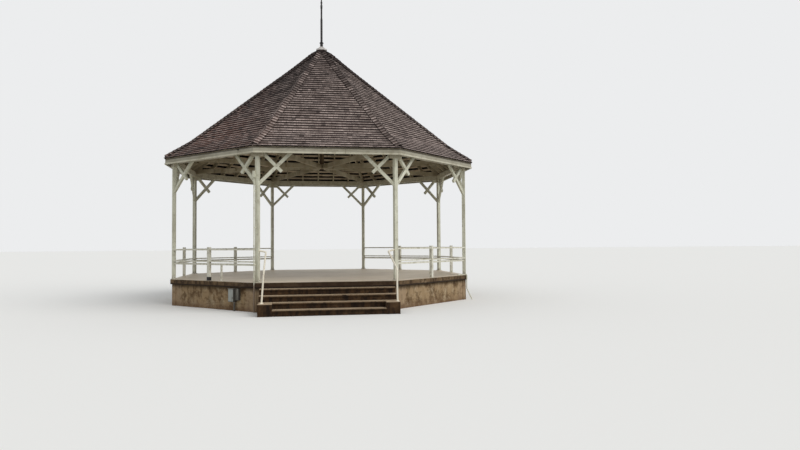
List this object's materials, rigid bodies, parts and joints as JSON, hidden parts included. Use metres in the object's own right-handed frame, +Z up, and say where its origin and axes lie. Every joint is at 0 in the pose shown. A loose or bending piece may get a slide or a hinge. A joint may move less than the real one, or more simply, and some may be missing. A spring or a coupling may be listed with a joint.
{
  "type": "octagonal gazebo",
  "caption": "Open octagonal bandstand on a raised masonry base, with steps, railings, braced timber posts and a steep shingled roof under a tall finial.",
  "frame": {"origin": "centre of the octagonal base on its underside, at ground level", "axes": "+Z up, -Y towards the side of the steps, +X to the right of someone facing the steps"},
  "size_m": [8.7946, 9.6106, 9.5446],
  "materials": {
    "plinth_stucco": "rough stained cement render",
    "floor_concrete": "weathered concrete",
    "step_concrete": "dark stained concrete",
    "white_wood": "white paint, a little chalky",
    "frame_wood": "old white paint, dusty",
    "dark_wood": "dark weathered timber",
    "fascia_wood": "white paint, stained along the joints",
    "wood_shingles": "weathered split shingles",
    "white_metal": "gloss white enamel",
    "grey_metal": "weathered galvanised grey",
    "dark_iron": "dark painted iron",
    "conduit_metal": "pale paint, worn"
  },
  "bodies": {
    "root": {"plinth": "plinth_stucco", "floor_slab": "floor_concrete", "entry_steps": "step_concrete", "step_cheeks": "step_concrete", "handrails": "white_metal", "post_1": "white_wood", "post_2": "white_wood", "post_3": "white_wood", "post_4": "white_wood", "post_5": "white_wood", "post_6": "white_wood", "post_7": "white_wood", "post_8": "white_wood", "bolsters": "white_wood", "ring_beam": "white_wood", "braces_front": "white_wood", "braces_front_right": "white_wood", "braces_right": "white_wood", "braces_back_right": "white_wood", "braces_back": "white_wood", "braces_back_left": "white_wood", "braces_left": "white_wood", "braces_front_left": "white_wood", "railing_front_right": "white_wood", "railing_right": "white_wood", "railing_back_right": "white_wood", "railing_back_left": "white_wood", "railing_left": "white_wood", "railing_front_left": "white_wood", "tie_beams": "frame_wood", "king_post": "dark_wood", "hip_rafters": "frame_wood", "common_rafters": "frame_wood", "fascia": "fascia_wood", "roof_front": "wood_shingles", "roof_front_right": "wood_shingles", "roof_right": "wood_shingles", "roof_back_right": "wood_shingles", "roof_back": "wood_shingles", "roof_back_left": "wood_shingles", "roof_left": "wood_shingles", "roof_front_left": "wood_shingles", "cap_curb": "wood_shingles", "roof_cap": "grey_metal", "finial": "dark_iron", "meter_box": "grey_metal", "conduits": "conduit_metal"}
  },
  "joints": []
}
